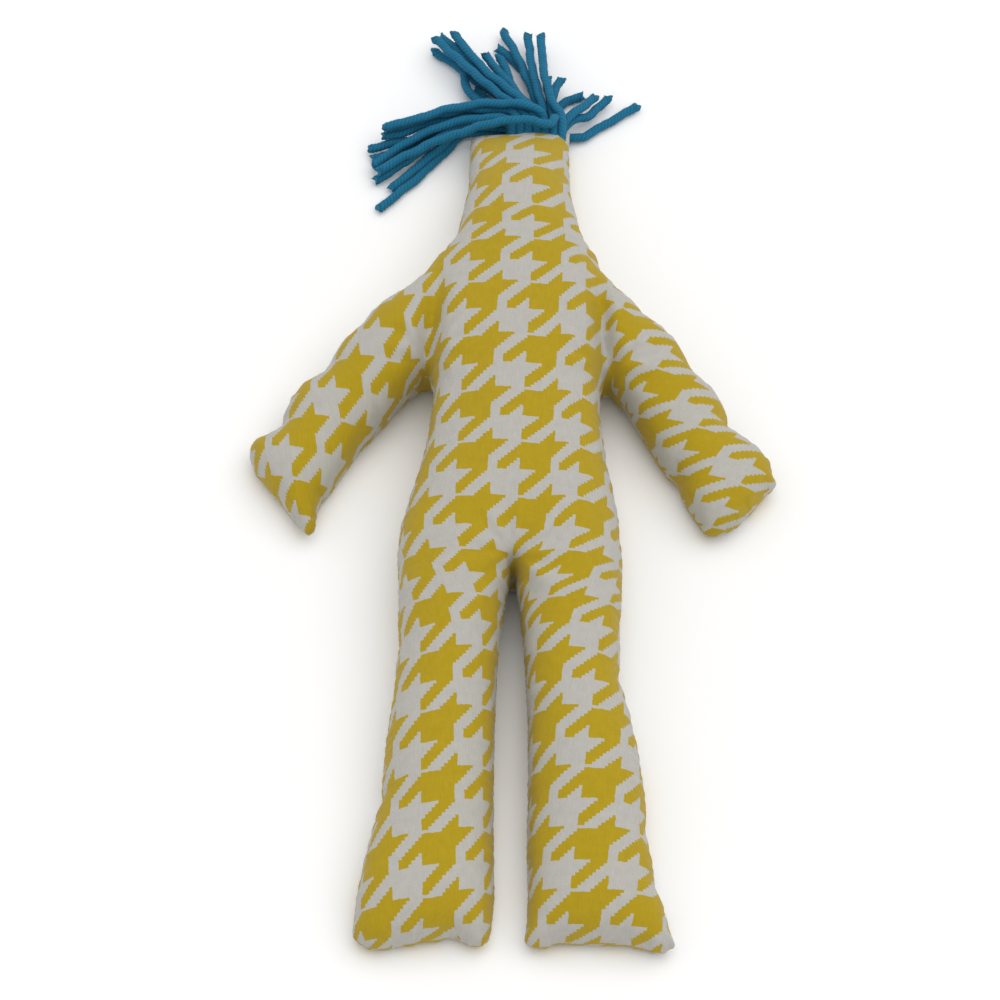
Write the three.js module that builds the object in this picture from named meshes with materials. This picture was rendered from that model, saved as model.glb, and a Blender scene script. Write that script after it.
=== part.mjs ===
// A stress relief doll: a rag doll sewn from a front and a back panel of cotton, stuffed with fibre,
// with a tuft of yarn caught in the crown seam. It lies on its back with the head towards +Y and the
// front facing +Z. Millimetres. The origin is on the floor, under the middle of the doll.
import * as THREE from 'three';
import { mergeVertices } from 'three/addons/utils/BufferGeometryUtils.js';

// Lengths along the doll
const HEAD_LENGTH = 52.5;
const TORSO_LENGTH = 134;
const LEG_LENGTH = 118.5;
const ARMPIT_FROM_HIP = 77;
const SHOULDER_TOP_FROM_NECK = 2;
const WAIST_FROM_HIP = 60;

// Half widths at the seam
const CROWN_HALF_WIDTH = 17.5;
const NECK_HALF_WIDTH = 24.2;
const SHOULDER_HALF_WIDTH = 29.5;
const WAIST_HALF_WIDTH = 28;
const HIP_HALF_WIDTH = 36.2;

// Legs and arms
const FOOT_WIDTH = 44;
const LEG_TOP_GAP = 3.6;
const FOOT_GAP = 10;
const LEFT_ARM = { length: 83, angle: 35, handWidth: 31, handSkew: 3 };
const RIGHT_ARM = { length: 83, angle: 38, handWidth: 31, handSkew: 12 };

// Heights above the floor
const TORSO_SEAM_HEIGHT = 17;
const CROWN_SEAM_HEIGHT = 8;
const HAND_SEAM_HEIGHT = 6;
const FOOT_SEAM_HEIGHT = 5;
const CHEST_TOP = 40;
const HIP_TOP = 36;
const NECK_TOP = 36;
const CROWN_TOP = 24;
const ARM_ROOT_TOP = 33;
const HAND_TOP = 19;
const FOOT_TOP = 27;
const BACK_FLATTENED = 1.2;

// Cloth, filling and joints
const CLOTH_THICKNESS = 0.8;
const FIT_CLEARANCE = 0.3;
const JOINT_GAP = 0.6;
const SHOULDER_FOLD = 30;
const FOLD_REACH = 30;
const SWING = 45;
const SWING_CLEARANCE = 1.2;
const CROTCH_PINCH = 0.7;
const CROTCH_REACH = 34;
const END_ROUNDING = 18;
const BULGE_POWER = 2.2;
const NECK_FLARE = 1.7;
const CALF_FLARE = 1.6;
const LEG_LEVEL_FROM = 0.9;
const ARM_LEVEL_FROM = 0.85;

// Hair: yarn ends that leave the crown seam side by side, in layers
const YARN_DIAMETER = 2.6;
const YARN_PITCH = 2.95;
const TUFT_LEFT = -3;
const TUFT_BOTTOM = 3.6;
const ROOT_CLEARANCE = 0.6;

// Grid of the cloth and steps of the yarn
const ROWS = 9;
const ROOT_ROWS = 3;
const LIMB_COLUMNS = 8;
const TORSO_COLUMNS = 16;
const COLUMN_CROWDING = 0.25;
const ROW_CROWDING = 1.5;
const RIM_POWER = 6;
const YARN_SIDES = 8;
const YARN_STEP = 2.5;

// Places that follow from the lengths
const hipY = LEG_LENGTH - (HEAD_LENGTH + TORSO_LENGTH + LEG_LENGTH) / 2;
const neckY = hipY + TORSO_LENGTH;
const armpitY = hipY + ARMPIT_FROM_HIP;
const shoulderTopY = neckY - SHOULDER_TOP_FROM_NECK;
const crownY = neckY + HEAD_LENGTH;
const { degToRad, lerp, smoothstep } = THREE.MathUtils;
const shoulderSlope = Math.tan(degToRad(SHOULDER_FOLD));
const lipAngle = degToRad(90 - SWING);

const point = (x, y) => new THREE.Vector2(x, y);

// The half width of the torso's outline: hip, waist and armpit are joined by smooth eases, and the
// shoulder above the armpit is straight, because the arm folds along it.
function torsoHalfWidth(y) {
  const waistY = hipY + WAIST_FROM_HIP;
  if (y < waistY) {
    return lerp(HIP_HALF_WIDTH, WAIST_HALF_WIDTH, smoothstep(y, hipY, waistY));
  }
  if (y < armpitY) {
    return lerp(WAIST_HALF_WIDTH, SHOULDER_HALF_WIDTH, smoothstep(y, waistY, armpitY));
  }
  return lerp(SHOULDER_HALF_WIDTH, NECK_HALF_WIDTH, (y - armpitY) / (neckY - armpitY));
}

// The pillow's rounding towards a sewn end: full height until END_ROUNDING from the end, then an
// elliptical fall to the seam.
function closing(section, v) {
  if (!section.sewnEnd) {
    return 1;
  }
  const start = 1 - END_ROUNDING / section.length;
  const t = Math.max(0, (v - start) / (1 - start));
  return Math.sqrt(Math.max(0, 1 - t * t));
}

// The swell across a section, 1 along its middle and 0 at both seams.
const singleSwell = (u) => 1 - Math.abs(u) ** BULGE_POWER;

// The cloth's height above the seam (side 1) or its depth below it (side -1). inset is the depth under
// the outer face of the cloth, and it fades out at the rim, where the faces meet the seam.
function swellHeight(section, u, v, side, inset) {
  const seam = section.seam(v);
  const full = side > 0 ? section.top(v) - seam : seam + BACK_FLATTENED;
  return (full * section.swell(u, v) - inset * (1 - u ** RIM_POWER)) * closing(section, v);
}

// A place on the plan between a section's two seams.
function planPoint(section, u, v, inset) {
  const along = section.sewnEnd ? v * (1 - inset / section.length) : v;
  const low = section.lowEdge(along);
  const high = section.highEdge(along);
  const halfWidth = low.distanceTo(high) / 2;
  return low.lerp(high, (1 + u * (1 - inset / halfWidth)) / 2);
}

// A point of a stuffed section. u runs across it from -1 to 1 and v along it, from 0 at its joint to 1
// at its far end. From -1 to 0 v goes round a limb's root, which is turned about the joint's axis.
// side is 1 for the front and -1 for the back, and seamGap parts the two panels at the seam.
function sectionPoint(section, u, v, side, inset, seamGap) {
  const station = Math.max(0, v);
  const plan = planPoint(section, u, station, inset);
  let height = swellHeight(section, u, station, side, inset);
  if (v < 0) {
    const turn = ((1 + v) * Math.PI) / 2;
    const reach = swellHeight(section, u, 0, 1, inset);
    plan.addScaledVector(section.inward, -reach * Math.cos(turn));
    height *= Math.sin(turn);
  }
  const seam = section.seam(station);
  const z = Math.max(inset, seam + side * (height + seamGap / 2));
  for (const fold of section.folds) {
    const away = Math.abs(station - fold.v) * section.length;
    const fade = Math.max(0, 1 - away / FOLD_REACH);
    plan.addScaledVector(fold.inward, fold.setBack(plan.x, Math.abs(z - seam)) * fade);
  }
  return [plan.x, plan.y, z];
}

// Places of the grid lines: columns crowd a little towards the seams, rows towards a sewn end, and a
// turned root has rows of its own.
function gridLines(section) {
  const columns = [];
  for (let i = 0; i <= section.columns; i += 1) {
    const a = (2 * i) / section.columns - 1;
    columns.push(a * (1 + COLUMN_CROWDING * (1 - a * a)));
  }
  const rows = [];
  for (let j = section.turnedRoot ? -ROOT_ROWS : 0; j < 0; j += 1) {
    rows.push(j / ROOT_ROWS);
  }
  for (let j = 0; j <= ROWS; j += 1) {
    const a = j / ROWS;
    rows.push(section.sewnEnd ? 1 - (1 - a) ** ROW_CROWDING : a);
  }
  return { columns, rows };
}

// One closed mesh from a list of quads, each given by four corner points in outward order.
function closedGeometry(quads) {
  const positions = [];
  for (const [a, b, c, d] of quads) {
    positions.push(...a, ...b, ...c, ...a, ...c, ...d);
  }
  const soup = new THREE.BufferGeometry();
  soup.setAttribute('position', new THREE.Float32BufferAttribute(positions, 3));
  const merged = mergeVertices(soup, 1e-4);
  const kept = [];
  const index = merged.index.array;
  for (let i = 0; i < index.length; i += 3) {
    const [a, b, c] = [index[i], index[i + 1], index[i + 2]];
    if (a !== b && b !== c && c !== a) {
      kept.push(a, b, c);
    }
  }
  merged.setIndex(kept);
  merged.computeVertexNormals();
  return merged;
}

// Quads between neighbouring lines of points, which all have the same number of points.
function stripQuads(lines, outward) {
  const quads = [];
  for (let j = 0; j + 1 < lines.length; j += 1) {
    for (let i = 0; i + 1 < lines[j].length; i += 1) {
      const [a, b, c, d] = [lines[j][i], lines[j][i + 1], lines[j + 1][i + 1], lines[j + 1][i]];
      quads.push(outward ? [a, b, c, d] : [a, d, c, b]);
    }
  }
  return quads;
}

const lastOf = (list) => list[list.length - 1];

// A cloth panel: an outer and an inner face over the same grid, closed by a rim along all four sides.
function panelGeometry(section, side) {
  const { columns, rows } = gridLines(section);
  const face = (inset) =>
    rows.map((v) => columns.map((u) => sectionPoint(section, u, v, side, inset, FIT_CLEARANCE)));
  const outer = face(0);
  const inner = face(CLOTH_THICKNESS);
  const up = (side > 0) === section.rightHanded;
  return closedGeometry([
    ...stripQuads(outer, up),
    ...stripQuads(inner, !up),
    ...stripQuads([inner[0], outer[0]], up),
    ...stripQuads([lastOf(outer), lastOf(inner)], up),
    ...stripQuads([outer.map((row) => row[0]), inner.map((row) => row[0])], up),
    ...stripQuads([inner.map(lastOf), outer.map(lastOf)], up),
  ]);
}

// A hollow across the torso's end that clears a limb's turned root all through its swing: a corner line
// above the joint's axis, a line level with it and a corner line below it. Where the lip is lower than
// the corner, both are the same point.
function socketLines(section, fold, columns, inset) {
  const seam = section.seam(fold.v);
  return [1, 0, -1].map((side) =>
    columns.map((u) => {
      const plan = planPoint(section, u, fold.v, inset);
      const radius = fold.limbRadius(plan.x) + SWING_CLEARANCE;
      const corner = (radius * Math.sin((3 * lipAngle) / 4)) / Math.cos(lipAngle / 4);
      const rise = Math.min(corner, swellHeight(section, u, fold.v, side, inset)) * Math.abs(side);
      plan.addScaledVector(fold.inward, fold.setBack(plan.x, rise));
      return [plan.x, plan.y, seam + side * rise];
    }),
  );
}

// A fold's flat end, cut square to the limb at seam height.
function ridgeLines(section, fold, columns, inset) {
  const seam = section.seam(fold.v);
  return [columns.map((u) => [...planPoint(section, u, fold.v, inset).toArray(), seam])];
}

// The wad of fibre inside a section, set back from the cloth all round. Its two faces meet along the
// seam, and each folded end is closed by its socket or its ridge.
function stuffingGeometry(section) {
  const { columns, rows } = gridLines(section);
  const inset = CLOTH_THICKNESS + FIT_CLEARANCE;
  const face = (side) => rows.map((v) => columns.map((u) => sectionPoint(section, u, v, side, inset, 0)));
  const front = face(1);
  const back = face(-1);
  const quads = [
    ...stripQuads(front, section.rightHanded),
    ...stripQuads(back, !section.rightHanded),
  ];
  for (const fold of section.folds) {
    const row = fold.v === 0 ? 0 : rows.length - 1;
    const lines = fold.limbRadius ? socketLines : ridgeLines;
    const outward = (fold.v === 0) === section.rightHanded;
    quads.push(...stripQuads([front[row], ...lines(section, fold, columns, inset), back[row]], !outward));
  }
  return closedGeometry(quads);
}

// How far the torso is set back from a limb's axis at a height above or below it. Two slanting lines
// keep it clear: one of the limb at the end of its swing, the other of the limb's turned root.
const socketSetBack = (limbRadius) => (x, height) => {
  const radius = limbRadius(x) + SWING_CLEARANCE;
  const reach = (angle) => (radius - height * Math.sin(angle)) / Math.cos(angle);
  return Math.max(0, Math.min(reach(lipAngle), reach(lipAngle / 2)));
};

// The root radius of a limb whose section is centred on a place across the torso.
const rootRadius = (top, centre, halfWidth) => (x) =>
  (top - TORSO_SEAM_HEIGHT) * Math.max(0, singleSwell((Math.abs(x) - centre) / halfWidth));

// The torso, from the hip joints to the neck joint. Near the hips its swell parts into two lobes, one
// for each leg, with the crotch pinched between them.
const legTopWidth = HIP_HALF_WIDTH - LEG_TOP_GAP / 2;
const hipRadius = rootRadius(HIP_TOP, (HIP_HALF_WIDTH + LEG_TOP_GAP / 2) / 2, legTopWidth / 2);
const neckRadius = rootRadius(NECK_TOP, 0, NECK_HALF_WIDTH);
const torsoAt = (v) => lerp(hipY, neckY, v);
const torso = {
  length: TORSO_LENGTH,
  columns: TORSO_COLUMNS,
  rightHanded: true,
  sewnEnd: false,
  folds: [
    { v: 0, inward: point(0, 1), limbRadius: hipRadius, setBack: socketSetBack(hipRadius) },
    { v: 1, inward: point(0, -1), limbRadius: neckRadius, setBack: socketSetBack(neckRadius) },
  ],
  lowEdge: (v) => point(-torsoHalfWidth(torsoAt(v)), torsoAt(v)),
  highEdge: (v) => point(torsoHalfWidth(torsoAt(v)), torsoAt(v)),
  seam: () => TORSO_SEAM_HEIGHT,
  top: (v) =>
    v < 0.5
      ? lerp(HIP_TOP, CHEST_TOP, smoothstep(v, 0, 0.5))
      : lerp(CHEST_TOP, NECK_TOP, smoothstep(v, 0.5, 1)),
  swell: (u, v) => {
    const lobes = 1 - Math.abs(2 * Math.abs(u) - 1) ** BULGE_POWER;
    const pinch = CROTCH_PINCH * Math.max(0, 1 - (v * TORSO_LENGTH) / CROTCH_REACH);
    return lerp(singleSwell(u), lobes, pinch);
  },
};

// The head, from the neck joint to the crown seam: a tab with a flared foot and square corners.
function headHalfWidth(v) {
  const t = Math.min(1, NECK_FLARE * v);
  return lerp(NECK_HALF_WIDTH, CROWN_HALF_WIDTH, Math.sin((t * Math.PI) / 2));
}
const headAt = (v) => lerp(neckY, crownY, v);
const head = {
  length: HEAD_LENGTH,
  columns: LIMB_COLUMNS,
  rightHanded: true,
  sewnEnd: true,
  turnedRoot: true,
  inward: point(0, 1),
  folds: [],
  lowEdge: (v) => point(-headHalfWidth(v), headAt(v)),
  highEdge: (v) => point(headHalfWidth(v), headAt(v)),
  seam: (v) => lerp(TORSO_SEAM_HEIGHT, CROWN_SEAM_HEIGHT, v),
  top: (v) => lerp(NECK_TOP, CROWN_TOP, v),
  swell: singleSwell,
};

// A leg, from the hip joint to the foot seam. sign is 1 for the doll's left leg, at +X.
function leg(sign) {
  const inner = (v) => lerp(LEG_TOP_GAP, FOOT_GAP, Math.sqrt(v)) / 2;
  const outer = (v) => lerp(HIP_HALF_WIDTH, FOOT_GAP / 2 + FOOT_WIDTH, v ** CALF_FLARE);
  const y = (v) => hipY - LEG_LENGTH * v;
  return {
    length: LEG_LENGTH,
    columns: LIMB_COLUMNS,
    rightHanded: sign < 0,
    sewnEnd: true,
    turnedRoot: true,
    inward: point(0, -1),
    folds: [],
    lowEdge: (v) => point(sign * inner(v), y(v)),
    highEdge: (v) => point(sign * outer(v), y(v)),
    seam: (v) => lerp(TORSO_SEAM_HEIGHT, FOOT_SEAM_HEIGHT, smoothstep(v, 0, 1)),
    top: (v) => lerp(HIP_TOP, FOOT_TOP, smoothstep(v, 0, LEG_LEVEL_FROM)),
    swell: singleSwell,
  };
}

// An arm, from the shoulder fold to the hand seam. The root line follows the torso's straight
// shoulder, and the hand's seam is square to the arm but for its skew.
function arm(sign, { length, angle, handWidth, handSkew }) {
  const armpit = point(sign * torsoHalfWidth(armpitY), armpitY);
  const shoulderTop = point(sign * torsoHalfWidth(shoulderTopY), shoulderTopY);
  const rootLine = shoulderTop.clone().sub(armpit).normalize();
  const outward = point(sign * rootLine.y, -sign * rootLine.x);
  armpit.addScaledVector(outward, JOINT_GAP);
  shoulderTop.addScaledVector(outward, JOINT_GAP);
  const lean = degToRad(angle);
  const middle = armpit.clone().lerp(shoulderTop, 0.5);
  const hand = middle.add(point(sign * Math.sin(lean), -Math.cos(lean)).multiplyScalar(length));
  const cuff = degToRad(angle + handSkew);
  const handLine = point(sign * Math.cos(cuff), Math.sin(cuff)).multiplyScalar(handWidth / 2);
  const lowHand = hand.clone().sub(handLine);
  const highHand = hand.clone().add(handLine);
  return {
    length,
    columns: LIMB_COLUMNS,
    rightHanded: sign < 0,
    sewnEnd: true,
    folds: [{ v: 0, inward: outward, setBack: (x, height) => height * shoulderSlope }],
    lowEdge: (v) => armpit.clone().lerp(lowHand, v),
    highEdge: (v) => shoulderTop.clone().lerp(highHand, v),
    seam: (v) => lerp(TORSO_SEAM_HEIGHT, HAND_SEAM_HEIGHT, smoothstep(v, 0, ARM_LEVEL_FROM)),
    top: (v) => lerp(ARM_ROOT_TOP, HAND_TOP, smoothstep(v, 0, ARM_LEVEL_FROM)),
    swell: singleSwell,
  };
}

const printedCotton = () => new THREE.MeshStandardMaterial({ color: 0xbfae6a, roughness: 0.9, metalness: 0 });
const fibre = () => new THREE.MeshStandardMaterial({ color: 0xe8e6e0, roughness: 1, metalness: 0 });

function stuffedSection(name, section) {
  const group = new THREE.Group();
  const pieces = [
    ['front_panel', panelGeometry(section, 1), printedCotton()],
    ['back_panel', panelGeometry(section, -1), printedCotton()],
    ['stuffing', stuffingGeometry(section), fibre()],
  ];
  for (const [piece, geometry, material] of pieces) {
    const mesh = new THREE.Mesh(geometry, material);
    mesh.name = `${name}_${piece}`;
    group.add(mesh);
  }
  return group;
}

// Where the yarn ends lie, as points after the root, from the lowest layer to the highest and in each
// layer from the doll's right to its left. Heights are above the floor, y is measured from the crown.
const HAIR_LAYERS = [
  [
    [[-5, 3.1, 3.2], [-19.7, 2.9, 2.4], [-26.9, -4.9, 1.7], [-36.8, -16.5, 1.6], [-48.7, -28.5, 1.6]],
    [[-3.2, 6.2, 3.2], [-21.2, 5.8, 2.6], [-33.4, -0.3, 1.8], [-43.1, -4.2, 1.6], [-51.5, -7.4, 1.6]],
    [[1.6, 7, 3.2], [-5, 13, 2.4], [-11.5, 18.2, 1.8], [-16.6, 23.1, 1.6]],
    [[4.7, 7.5, 3.2], [-3, 16.6, 2.4], [-15.2, 26.1, 1.8], [-24, 34.4, 1.6], [-31.3, 40.1, 1.6]],
    [[7.8, 7.5, 3.2], [5.1, 19.4, 2.4], [2.1, 29.4, 1.8], [-2.6, 36.1, 1.6], [-8.4, 41.4, 1.6]],
    [[11.4, 7.5, 3.2], [12.8, 13.4, 2.4], [16.1, 18.4, 1.7], [21.8, 21.1, 1.6]],
    [[15.2, 2.2, 3.2], [18.6, 2.3, 2.4], [22.6, 3.1, 1.9], [26.8, 6.6, 1.7], [33.1, 10.9, 1.6],
     [41.3, 17.1, 1.6]],
  ],
  [
    [[-5, 3.1, 6.4], [-19.7, 3.2, 5.2], [-28, -4, 4.2], [-36.9, -12.8, 3], [-44.7, -20.2, 1.8]],
    [[-3.2, 6.2, 6.4], [-21.2, 6.2, 5.6], [-33.4, 0.5, 4.8], [-43.1, -2, 4.2], [-52.6, -3.6, 2.4]],
    [[1.6, 7, 6.4], [-5.4, 11.6, 5.6], [-12.9, 15, 5], [-17.9, 19, 4.8], [-20.3, 28.3, 4.5]],
    [[4.8, 7.4, 6.4], [-0.5, 16.1, 5.6], [-4.2, 26.2, 4.8], [-7.6, 36, 4]],
    [[7.9, 7.6, 6.4], [4.7, 18.5, 5.5], [-0.1, 32.3, 4.8], [-6.4, 47.9, 3]],
    [[11.3, 7.4, 6.2], [10.4, 15, 4.8], [9.3, 27.8, 2.6]],
    [[15.6, 3.6, 6.4], [18.9, 7.4, 5.8], [24.6, 10.7, 4.6], [30.9, 19.2, 3.2]],
  ],
  [
    [[-5, 3.1, 9.4], [-20.4, 3.3, 8.5], [-28, -1.8, 7.2], [-36.6, -8, 5], [-50.1, -17, 2]],
    [[-3.2, 6.2, 9.4], [-21.1, 6.4, 8.5], [-31.6, 4.2, 7.6], [-40.3, 0.6, 6.9], [-48, -0.8, 5.9]],
    [[1.8, 7.2, 9.4], [-4.4, 14.4, 8.6], [-13.2, 24.6, 7.9], [-21.2, 35, 6.9], [-28.8, 43.8, 4.9]],
    [[4.9, 7.8, 9.4], [-0.2, 15.6, 8.6], [-6.3, 24.4, 7.9], [-12.9, 34.7, 6.8]],
    [[8.2, 7.9, 9.4], [5.8, 19.2, 8.6], [3.5, 31.6, 7.2], [2.3, 44.8, 5.5]],
    [[11.4, 6.2, 9.4], [10.9, 12.5, 8.4], [11.8, 18.5, 7.4], [14.2, 24.8, 6]],
    [[15.6, 4.2, 9.4], [18.6, 8.2, 9], [22, 11.8, 7.8], [26.3, 18, 5.4]],
  ],
  [
    [[-5, 3.1, 12.4], [-14, 3.4, 11.8], [-22.8, 2.2, 11], [-31.5, -0.5, 9.4], [-42, -5.4, 6.4],
     [-50.9, -11.5, 3.4]],
    [[-3.2, 6, 12.4], [-11.3, 7.2, 11.9], [-20.1, 7.2, 11.4], [-29.9, 5.2, 10.9], [-39.3, 2, 10],
     [-47.3, 0.5, 8.8]],
    [[2.2, 3.6, 12.6], [-1.2, 8.2, 12.2], [-6.5, 13.2, 11.6], [-15.1, 22.2, 10.9], [-23.5, 31.7, 9.8],
     [-30.6, 40.4, 8]],
    [[5, 3.8, 13.2], [1.6, 8.8, 13.4], [-3.2, 14.6, 12.6], [-11.2, 23, 11.4], [-18.4, 33, 10.2],
     [-23.8, 42.2, 8.8]],
    [[8.2, 2.8, 13.8], [5.8, 4.6, 15.8], [1.4, 6.2, 16.4], [-5, 7.2, 15.7], [-14.1, 7.4, 14.9],
     [-24.6, 5.6, 14.2], [-36.8, 1.6, 13.2], [-47.5, -1.2, 11.8]],
    [[11.9, 2.2, 13.6], [12, 1.4, 15.2], [11, -1.4, 16], [7.5, -1.8, 17], [2, -1.6, 18],
     [-6, -2.1, 18.1], [-13, -2.8, 16], [-19, -3.6, 13.8], [-26.1, -4.9, 11.4], [-36.5, -8.6, 8.6],
     [-49.3, -15.4, 5.4]],
    [[14.4, 3.8, 12.8], [12.6, 7.6, 12.6], [10.6, 13, 12.2], [8.7, 21, 11.2], [7.4, 32.5, 9.6],
     [6.9, 42.6, 8]],
  ],
];

// One yarn end: a round tube from the crown seam through its points.
function yarnGeometry(column, layer, places) {
  const start = crownY + ROOT_CLEARANCE;
  const rootX = TUFT_LEFT + column * YARN_PITCH;
  const rootZ = TUFT_BOTTOM + layer * YARN_PITCH;
  const route = new THREE.CatmullRomCurve3([
    new THREE.Vector3(rootX, start, rootZ),
    ...places.map(([x, y, z]) => new THREE.Vector3(x, crownY + y, z)),
  ]);
  const section = new THREE.Shape();
  section.absarc(0, 0, YARN_DIAMETER / 2, 0, 2 * Math.PI);
  return new THREE.ExtrudeGeometry(section, {
    extrudePath: route,
    curveSegments: YARN_SIDES / 2,
    steps: Math.ceil(route.getLength() / (YARN_STEP * YARN_DIAMETER)),
  });
}

const yarn = () => new THREE.MeshStandardMaterial({ color: 0x2c7496, roughness: 0.95, metalness: 0 });

function hair() {
  const tuft = new THREE.Group();
  HAIR_LAYERS.forEach((ends, layer) => {
    ends.forEach((places, column) => {
      const strand = new THREE.Mesh(yarnGeometry(column, layer, places), yarn());
      const count = String(tuft.children.length + 1).padStart(2, '0');
      strand.name = `hair_strand_${count}`;
      tuft.add(strand);
    });
  });
  return tuft;
}

const doll = new THREE.Group();
doll.add(stuffedSection('torso', torso));
doll.add(stuffedSection('head', head));
doll.add(stuffedSection('left_leg', leg(1)));
doll.add(stuffedSection('right_leg', leg(-1)));
doll.add(stuffedSection('left_arm', arm(1, LEFT_ARM)));
doll.add(stuffedSection('right_arm', arm(-1, RIGHT_ARM)));
doll.add(hair());

export default doll;
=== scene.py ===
# %% [markdown]
# # A stress relief doll
#
# The real doll is sewn from a front and a back panel of printed cotton, turned inside out, stuffed with
# fibre and closed at the crown over a tuft of yarn. We make it the same way: draw the panels flat, sew them
# along their rim, blow them up as cloth, and lay the yarn ends along their routes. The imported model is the
# frame for all of it, and the pieces made here stand for its soft solids.

import bpy
import numpy as np
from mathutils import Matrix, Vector
from mathutils.geometry import delaunay_2d_cdt


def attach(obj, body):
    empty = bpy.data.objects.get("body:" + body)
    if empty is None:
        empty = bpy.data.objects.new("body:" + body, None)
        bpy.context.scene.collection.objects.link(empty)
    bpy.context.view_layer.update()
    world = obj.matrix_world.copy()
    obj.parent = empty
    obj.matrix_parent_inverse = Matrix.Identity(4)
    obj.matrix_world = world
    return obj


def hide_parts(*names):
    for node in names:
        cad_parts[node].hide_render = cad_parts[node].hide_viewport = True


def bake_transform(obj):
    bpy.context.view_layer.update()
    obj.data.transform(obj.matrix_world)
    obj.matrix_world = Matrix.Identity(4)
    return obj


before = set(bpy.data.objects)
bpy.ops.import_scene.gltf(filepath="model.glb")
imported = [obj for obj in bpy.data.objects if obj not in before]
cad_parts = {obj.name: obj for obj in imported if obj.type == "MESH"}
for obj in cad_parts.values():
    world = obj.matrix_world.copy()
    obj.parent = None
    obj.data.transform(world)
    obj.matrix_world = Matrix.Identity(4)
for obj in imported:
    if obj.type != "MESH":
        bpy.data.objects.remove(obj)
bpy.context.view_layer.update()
scene = bpy.context.scene
MM = 0.001

# %% [markdown]
# ## The camera
#
# The print on the cloth is square, so its squeezed rows tell how the camera stood: on the foot side, about
# 30 degrees off the vertical and 1.2 m away, with a long lens.

# %% Camera
CAMERA_PLACE = (0.00576, -0.6, 1.0542)
CAMERA_AIM = Vector((-0.0044, -0.0001, 0.015))
camera_data = bpy.data.cameras.new("camera")
camera_data.sensor_width = 36.0
camera_data.lens = 131.7
camera = bpy.data.objects.new("camera", camera_data)
camera.location = CAMERA_PLACE
sight = CAMERA_AIM - camera.location
camera.rotation_euler = sight.to_track_quat("-Z", "Y").to_euler()
scene.collection.objects.link(camera)
scene.camera = camera
print("camera distance", round(sight.length, 3), "m")

# %% [markdown]
# ## Small helpers
#
# Colours are written as they look on a screen and turned into linear light by one function. Another adds a
# shader node, sets it and links it in one call. Points are in millimetres until a mesh is made of them.


# %% Helpers
def linear(code):
    """The linear colour of a screen colour such as "#bfbdb5".

    A channel c becomes ((c + 0.055) / 1.055) to the power 2.4, or c / 12.92 where it is very dark.
    """
    screen = np.array([int(code[i:i + 2], 16) for i in (1, 3, 5)]) / 255
    light = np.where(screen <= 0.04045, screen / 12.92, ((screen + 0.055) / 1.055) ** 2.4)
    return (*light.tolist(), 1.0)


def add(tree, kind, inputs, output=0, **settings):
    """One output of a new shader node. inputs gives sockets or values by the input's name or number."""
    made = tree.nodes.new("ShaderNode" + kind)
    for name, value in settings.items():
        setattr(made, name, value)
    for key, value in inputs.items():
        if isinstance(value, bpy.types.NodeSocket):
            tree.links.new(value, made.inputs[key])
        else:
            made.inputs[key].default_value = value
    return made.outputs[output]


def ease(value, low, high):
    """0 up to low and 1 from high, with the smooth step 3 t^2 - 2 t^3 between."""
    t = np.clip((value - low) / (high - low), 0, 1)
    return t * t * (3 - 2 * t)


def mix(a, b, start, end, t):
    """A straight line over t that is a at the start and b at the end."""
    return (a * (end - t) + b * (t - start)) / (end - start)


def smooth_line(points, step):
    """Points about one step apart on the centripetal Catmull-Rom curve through the given points.

    Between two points the curve mixes lines through neighbouring pairs, then mixes those mixes, with knots
    that are spaced by the square root of the distance.
    """
    p = np.array(points, float)
    p = np.vstack([2 * p[0] - p[1], p, 2 * p[-1] - p[-2]])
    knots = np.cumsum(np.r_[0, np.linalg.norm(np.diff(p, axis=0), axis=1) ** 0.5])
    fine = []
    for i in range(len(p) - 3):
        k = knots[i:i + 4]
        t = np.linspace(k[1], k[2], 40)[:, None]
        first, middle, last = (mix(p[i + j], p[i + j + 1], k[j], k[j + 1], t) for j in range(3))
        before = mix(first, middle, k[0], k[2], t)
        after = mix(middle, last, k[1], k[3], t)
        fine.append(mix(before, after, k[1], k[2], t))
    fine = np.vstack(fine)
    along = np.r_[0, np.cumsum(np.linalg.norm(np.diff(fine, axis=0), axis=1))]
    places = np.linspace(0, along[-1], max(2, round(along[-1] / step)) + 1)
    return np.column_stack([np.interp(places, along, axis) for axis in fine.T])


print("a line of", len(smooth_line([(0, 0), (5, 1), (10, 0)], 1.0)), "points")

# %% [markdown]
# ## Floor and light
#
# The photo is a catalogue picture on white. A wide soft sun from the head side and an even sky give each
# colour about the value it is written with, and the pale floor comes out white.


# %% Floor
def new_material(name, roughness):
    """A material, its node tree and its surface node."""
    material = bpy.data.materials.new(name)
    material.use_nodes = True
    surface = material.node_tree.nodes["Principled BSDF"]
    surface.inputs["Roughness"].default_value = roughness
    return material, material.node_tree, surface


FLOOR_REACH = 3.0
FLOOR_LEVEL = -0.0003
CORNERS = ((-1, -1), (1, -1), (1, 1), (-1, 1))
floor_mesh = bpy.data.meshes.new("floor")
floor_points = [(x * FLOOR_REACH, y * FLOOR_REACH, FLOOR_LEVEL) for x, y in CORNERS]
floor_mesh.from_pydata(floor_points, [], [(0, 1, 2, 3)])
floor = bpy.data.objects.new("floor", floor_mesh)
scene.collection.objects.link(floor)

# Matt paper has no gloss, so the floor is even from side to side.
paper, tree, surface = new_material("studio_paper", 1.0)
surface.inputs["Base Color"].default_value = linear("#fbfbfb")
surface.inputs["Specular IOR Level"].default_value = 0.0
floor_mesh.materials.append(paper)
print("floor of", paper.name)

# %% Light
SKY_STRENGTH = 0.62
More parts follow.
